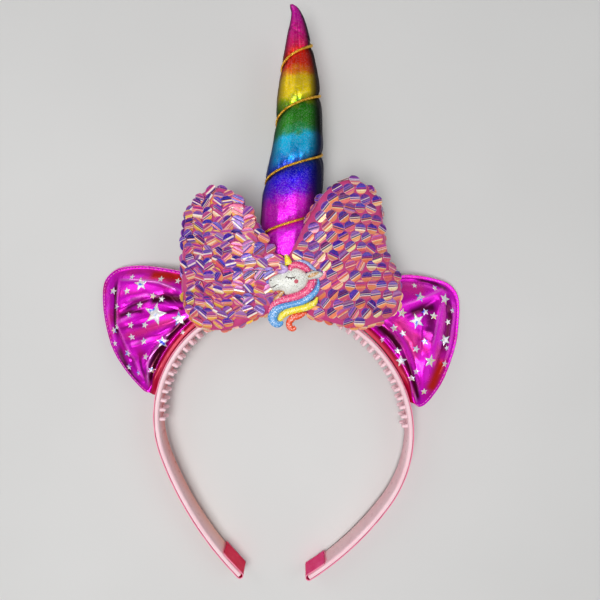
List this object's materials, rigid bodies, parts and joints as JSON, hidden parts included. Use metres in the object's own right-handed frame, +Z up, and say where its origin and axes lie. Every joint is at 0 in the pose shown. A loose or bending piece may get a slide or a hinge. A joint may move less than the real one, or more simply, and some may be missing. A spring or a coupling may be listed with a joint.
{
  "type": "unicorn horn headband",
  "caption": "Child's dress-up comb headband with a stuffed rainbow unicorn horn, gold spiral cord, padded foil ears, a sequin bow and a cast unicorn head.",
  "frame": {"origin": "middle of the bounding box in plan, on the surface that the headband lies on", "axes": "+Y from the open end of the headband towards the tip of the horn, +Z up from the surface, towards the bow's front, +X towards the wearer's left ear as the front is seen, on the right of the picture"},
  "size_m": [0.176, 0.2694, 0.037],
  "materials": {
    "pale_pink_plastic": "satin",
    "hot_pink_satin": "satin",
    "rainbow_lame": "gloss",
    "gold_cord": "gloss",
    "pink_sequin_cloth": "gloss",
    "painted_resin": "gloss",
    "magenta_foil": "gloss"
  },
  "bodies": {
    "root": {"headband": "pale_pink_plastic", "ribbon_cover": "hot_pink_satin", "horn": "rainbow_lame", "horn_cord": "gold_cord", "bow": "pink_sequin_cloth", "charm": "painted_resin", "ear_left": "magenta_foil", "ear_right": "magenta_foil"}
  },
  "joints": []
}
